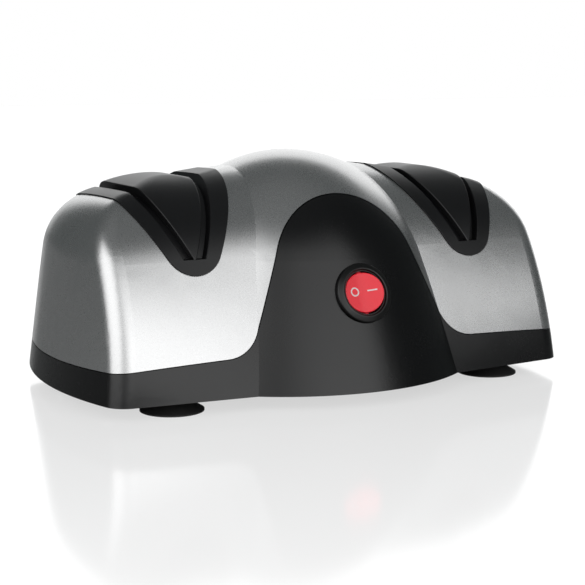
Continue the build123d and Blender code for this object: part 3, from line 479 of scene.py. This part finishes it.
# ---------------------------------------------------------------- case screws
# Six pan-head thread-forming screws come up through the bottom plate into the posts:
# zinc-plated, with a cross recess.
screw_places = [(x * side, y) for side in (-1, 1) for x, y in
                ((0.0915, -0.022), (0.0915, 0.026), (0.033, 0.045))]
heads_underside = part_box("case_screws")[0][2]
head_radius, head_height, head_round = 0.0030, 0.0022, 0.0007
head_sides, head_round_steps = 48, 5
cross_length, cross_width, cross_depth = 0.0032, 0.0007, 0.0011
thread_radius, thread_root, thread_pitch, thread_turns = 0.0016, 0.00122, 0.0011, 11
thread_sides, thread_sunk = 24, 0.0002    # the thread starts this deep in the head
screw_crease = radians(35)

bpy.ops.object.select_all(action="DESELECT")
bpy.ops.mesh.primitive_cylinder_add(
    vertices=head_sides, radius=head_radius, depth=head_height, location=(0, 0, head_height / 2))
bpy.ops.object.transform_apply(location=True)
head = bpy.context.object
bpy.ops.object.mode_set(mode="EDIT")
bpy.ops.mesh.select_mode(type="EDGE")
bpy.ops.mesh.select_all(action="DESELECT")
bpy.ops.object.mode_set(mode="OBJECT")
for edge in head.data.edges:              # the rim that faces down is rounded, as on a pan head
    edge.select = all(head.data.vertices[end].co.z < head_height / 2 for end in edge.vertices)
bpy.ops.object.mode_set(mode="EDIT")
bpy.ops.mesh.bevel(offset=head_round, segments=head_round_steps)
bpy.ops.object.mode_set(mode="OBJECT")
for arm_turn in (0.0, pi / 2):
    bpy.ops.object.select_all(action="DESELECT")
    bpy.ops.mesh.primitive_cube_add(size=1.0, rotation=(0, 0, arm_turn))
    cutter = bpy.context.object
    cutter.scale = (cross_length, cross_width, 2 * cross_depth)
    recess = head.modifiers.new("recess", "BOOLEAN")
    recess.operation, recess.object = "DIFFERENCE", cutter
    bpy.context.view_layer.objects.active = head
    bpy.ops.object.modifier_apply(modifier=recess.name)
    bpy.data.objects.remove(cutter)

bpy.ops.object.select_all(action="DESELECT")
bpy.ops.mesh.primitive_circle_add(
    vertices=thread_sides, radius=thread_root, location=(0, 0, head_height - thread_sunk))
bpy.ops.object.transform_apply(location=True)
all_of("EDGE")
for half_turn in range(2 * thread_turns):
    share = thread_radius / thread_root if half_turn % 2 == 0 else thread_root / thread_radius
    bpy.ops.mesh.extrude_region_move(TRANSFORM_OT_translate={"value": (0, 0, thread_pitch / 2)})
    bpy.ops.transform.resize(value=(share, share, 1.0), center_override=(0, 0, 0))
bpy.ops.mesh.extrude_region_move(TRANSFORM_OT_translate={"value": (0, 0, thread_pitch)})
bpy.ops.mesh.merge(type="CENTER")
bpy.ops.mesh.select_all(action="SELECT")
bpy.ops.mesh.select_mode(type="EDGE")
bpy.ops.mesh.normals_make_consistent(inside=False)
bpy.ops.object.mode_set(mode="OBJECT")
head.select_set(True)
bpy.context.view_layer.objects.active = head
bpy.ops.object.join()
bpy.ops.object.shade_smooth_by_angle(angle=screw_crease)
head.data.materials.clear()
head.data.materials.append(bpy.data.materials["zinc_plate"])

bpy.ops.object.select_all(action="DESELECT")
for x, y in screw_places:
    screw = head.copy()
    screw.data = head.data.copy()
    screw.data.transform(Matrix.Translation((x, y, heads_underside)))
    bpy.context.scene.collection.objects.link(screw)
    screw.select_set(True)
bpy.context.view_layer.objects.active = screw
bpy.ops.object.join()
screw_set = bpy.context.object
screw_set.name = screw_set.data.name = "case_screw_set"
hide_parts("case_screws")
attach(screw_set, "root")
bpy.data.objects.remove(head)

# ---------------------------------------------------------------- hidden plastics
# What the case hides: the motor's magnets, brushes and nylon bell, the green board and
# its parts, and the bonded aluminium oxide of the wheels.
for name, dark, light, roughness, grain, depth, *pieces in (
    ("ferrite", (0.03, 0.03, 0.032), (0.055, 0.055, 0.058), 0.55, 900.0, 0.00006, "motor_magnets"),
    ("carbon", (0.02, 0.02, 0.02), (0.05, 0.05, 0.05), 0.45, 1500.0, 0.00005, "carbon_brushes"),
    ("bell_nylon", (0.035, 0.035, 0.040), (0.060, 0.060, 0.065), 0.45, 900.0, 0.00003,
     "motor_end_bell"),
    ("board_laminate", (0.03, 0.17, 0.06), (0.06, 0.25, 0.11), 0.40, 500.0, 0.00003,
     "circuit_board"),
    ("component_epoxy", (0.015, 0.015, 0.015), (0.03, 0.03, 0.03), 0.35, 900.0, 0.00002,
     "bridge_rectifier"),
    ("sleeve", (0.01, 0.03, 0.10), (0.02, 0.05, 0.14), 0.30, 900.0, 0.00001, "capacitor"),
    ("abrasive", (0.33, 0.28, 0.25), (0.52, 0.45, 0.41), 0.80, 2200.0, 0.00025,
     "left_grinding_wheel", "right_grinding_wheel"),
):
    moulded(name, dark, light, roughness, grain, depth)
    dress(name, *pieces)
